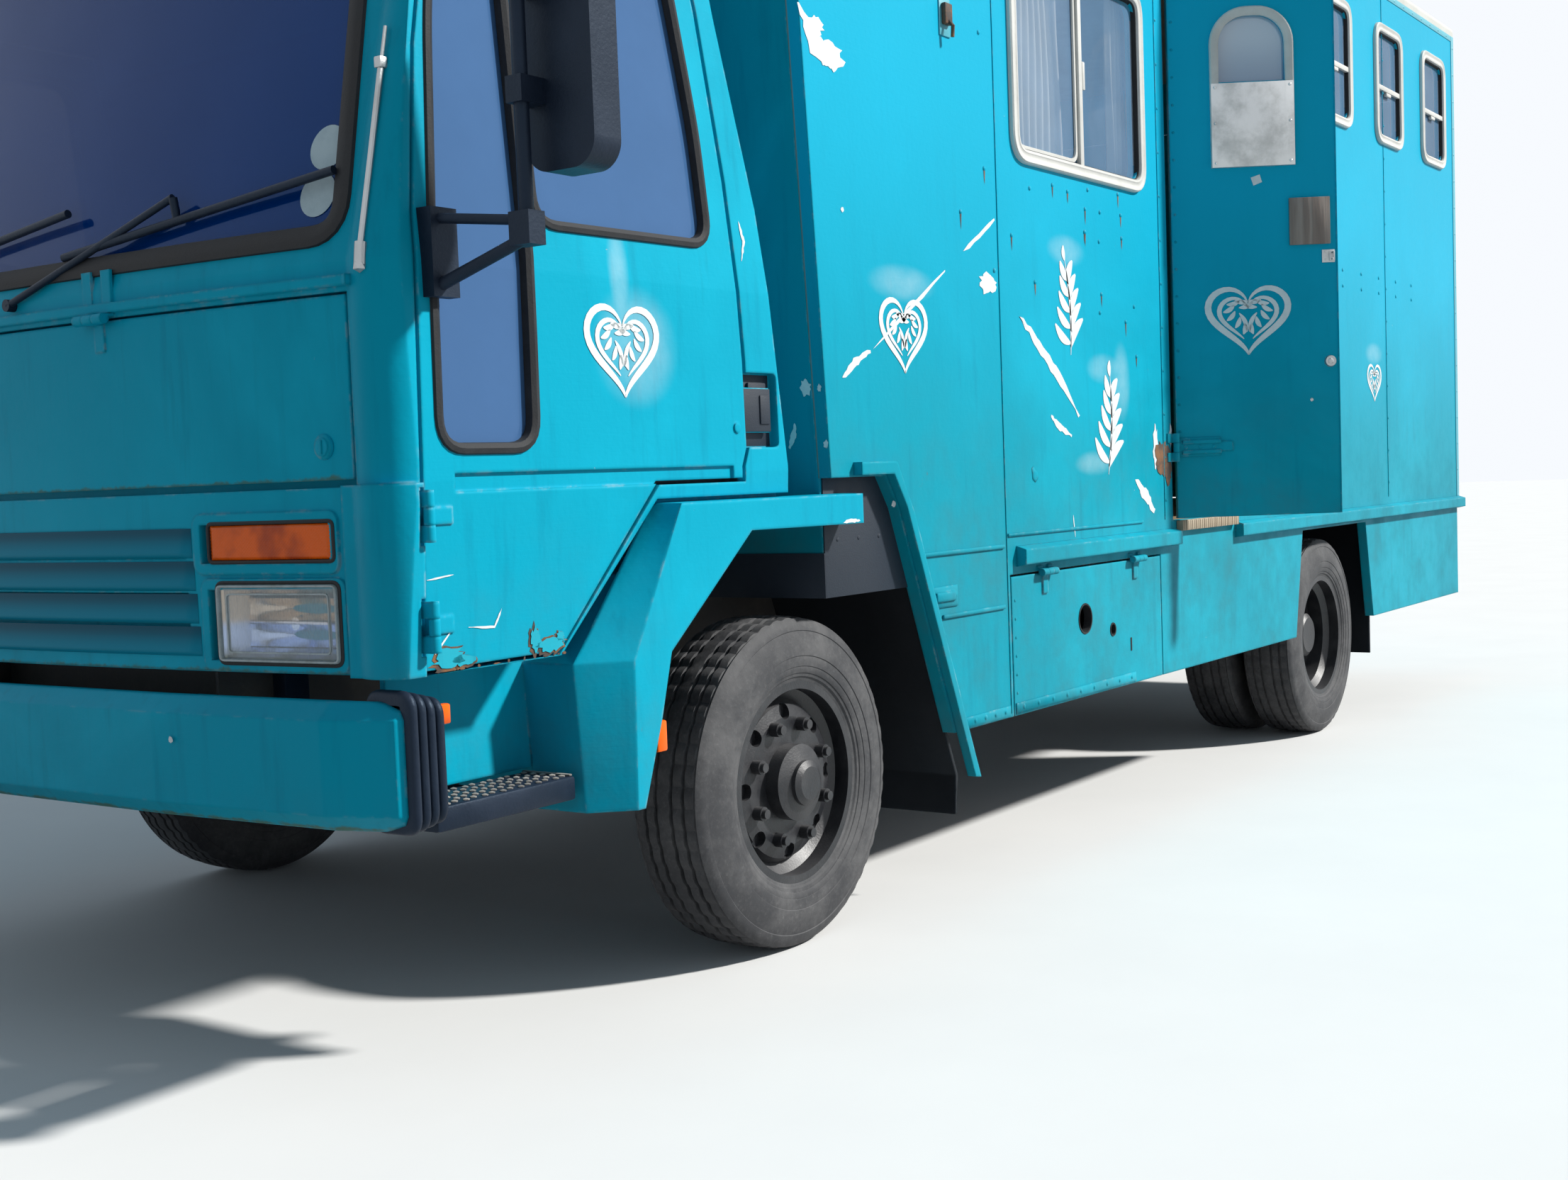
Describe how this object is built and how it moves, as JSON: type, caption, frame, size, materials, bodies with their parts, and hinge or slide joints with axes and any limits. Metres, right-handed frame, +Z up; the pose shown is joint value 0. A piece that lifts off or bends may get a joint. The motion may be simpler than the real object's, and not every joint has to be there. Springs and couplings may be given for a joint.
{
  "type": "painted horsebox lorry converted to a living van",
  "caption": "Turquoise forward-control lorry with a high box body turned into living space, side door open, ramp at the rear.",
  "frame": {"origin": "middle of the whole lorry's box at ground level", "axes": "+X forward, +Y to the lorry's left, +Z up"},
  "size_m": [6.788, 2.9446, 3.06],
  "materials": {
    "turquoise_paint": "brush-painted, weathered",
    "body_sheet": "brush-painted, weathered",
    "chassis_black": "dusty matt",
    "wheel_steel": "worn, brake dust",
    "tyre_rubber": "dusty",
    "window_glass": "clear",
    "lamp_lens": "ribbed",
    "amber_lens": "ribbed",
    "red_lens": "ribbed",
    "black_plastic": "weathered",
    "rubber_seal": "dull",
    "white_frame": "chalky",
    "aluminium": "dull mill",
    "galvanised": "dull zinc",
    "white_print": "stencilled, chalky",
    "roof_shell": "weathered glass fibre",
    "lining_board": "varnished",
    "plank_wood": "weathered",
    "cab_lining": "grained",
    "seat_cloth": "woven",
    "curtain_cloth": "woven",
    "engine_iron": "oily",
    "rusty_steel": "rusty"
  },
  "bodies": {
    "chassis": {"chassis_frame": "chassis_black", "front_axle_beam": "chassis_black", "rear_axle": "chassis_black", "leaf_springs": "rusty_steel", "engine_and_gearbox": "engine_iron", "exhaust": "rusty_steel", "fuel_tank": "chassis_black", "cab_shell": "turquoise_paint", "windscreen": "window_glass", "grille_panel": "turquoise_paint", "front_lamps": "lamp_lens", "front_bumper": "turquoise_paint", "cab_steps": "black_plastic", "front_wings": "turquoise_paint", "wipers": "black_plastic", "dashboard": "cab_lining", "cab_seats": "seat_cloth", "body_floor": "lining_board", "locker_box": "plank_wood", "body_side_left": "body_sheet", "body_side_right": "body_sheet", "body_roof": "roof_shell", "body_bulkhead": "body_sheet", "rear_frame": "body_sheet", "rear_lamps": "red_lens", "body_windows": "white_frame", "rub_rails": "body_sheet", "mudguards": "body_sheet"},
    "service_flap": {"service_flap": "turquoise_paint"},
    "living_door": {"living_door": "body_sheet"},
    "locker_door": {"locker_door": "body_sheet"},
    "rear_ramp": {"rear_ramp": "body_sheet"},
    "front_left_knuckle": {"front_left_knuckle": "chassis_black"},
    "front_left_wheel": {"front_left_wheel": "wheel_steel", "front_left_tyre": "tyre_rubber"},
    "rear_left_wheels": {"rear_left_wheels": "wheel_steel", "rear_left_tyres": "tyre_rubber"},
    "cab_door_left": {"cab_door_left": "turquoise_paint", "cab_door_left_glass": "window_glass", "mirror_left": "black_plastic"},
    "front_right_knuckle": {"front_right_knuckle": "chassis_black"},
    "front_right_wheel": {"front_right_wheel": "wheel_steel", "front_right_tyre": "tyre_rubber"},
    "rear_right_wheels": {"rear_right_wheels": "wheel_steel", "rear_right_tyres": "tyre_rubber"},
    "cab_door_right": {"cab_door_right": "turquoise_paint", "cab_door_right_glass": "window_glass", "mirror_right": "black_plastic"}
  },
  "joints": [
    {"name": "front_left_steer", "type": "hinge", "parent": "chassis", "child": "front_left_knuckle", "pos_m": [2.052, 0.70972, 0.383], "axis": [0, 0, 1], "range_deg": [-32, 32]},
    {"name": "front_left_spin", "type": "hinge", "parent": "front_left_knuckle", "child": "front_left_wheel", "pos_m": [2.052, 0.85472, 0.383], "axis": [0, 1, 0], "continuous": true},
    {"name": "rear_left_spin", "type": "hinge", "parent": "chassis", "child": "rear_left_wheels", "pos_m": [-1.548, 0.75472, 0.383], "axis": [0, 1, 0], "continuous": true},
    {"name": "cab_door_left_swing", "type": "hinge", "parent": "chassis", "child": "cab_door_left", "pos_m": [3.243, 1.03372, 0.85], "axis": [0, 0, -1], "range_deg": [0, 65]},
    {"name": "front_right_steer", "type": "hinge", "parent": "chassis", "child": "front_right_knuckle", "pos_m": [2.052, -0.85028, 0.383], "axis": [0, 0, 1], "range_deg": [-32, 32]},
    {"name": "front_right_spin", "type": "hinge", "parent": "front_right_knuckle", "child": "front_right_wheel", "pos_m": [2.052, -0.99528, 0.383], "axis": [0, 1, 0], "continuous": true},
    {"name": "rear_right_spin", "type": "hinge", "parent": "chassis", "child": "rear_right_wheels", "pos_m": [-1.548, -0.89528, 0.383], "axis": [0, 1, 0], "continuous": true},
    {"name": "cab_door_right_swing", "type": "hinge", "parent": "chassis", "child": "cab_door_right", "pos_m": [3.243, -1.17428, 0.85], "axis": [0, 0, 1], "range_deg": [0, 65]},
    {"name": "service_flap_lift", "type": "hinge", "parent": "chassis", "child": "service_flap", "pos_m": [3.366, -0.07028, 1.4265], "axis": [0, -1, 0], "range_deg": [0, 75]},
    {"name": "living_door_swing", "type": "hinge", "parent": "chassis", "child": "living_door", "pos_m": [0.043, 1.04572, 1.85], "axis": [0, 0, -1], "range_deg": [-57, 110]},
    {"name": "locker_door_lift", "type": "hinge", "parent": "chassis", "child": "locker_door", "pos_m": [0.652, 1.04572, 0.797], "axis": [1, 0, 0], "range_deg": [0, 80]},
    {"name": "rear_ramp_fall", "type": "hinge", "parent": "chassis", "child": "rear_ramp", "pos_m": [-3.384, -0.07028, 0.902], "axis": [0, -1, 0], "range_deg": [0, 115]}
  ],
  "couplings": [
    {"joint": "front_right_steer", "follows": "front_left_steer", "ratio": 1}
  ]
}
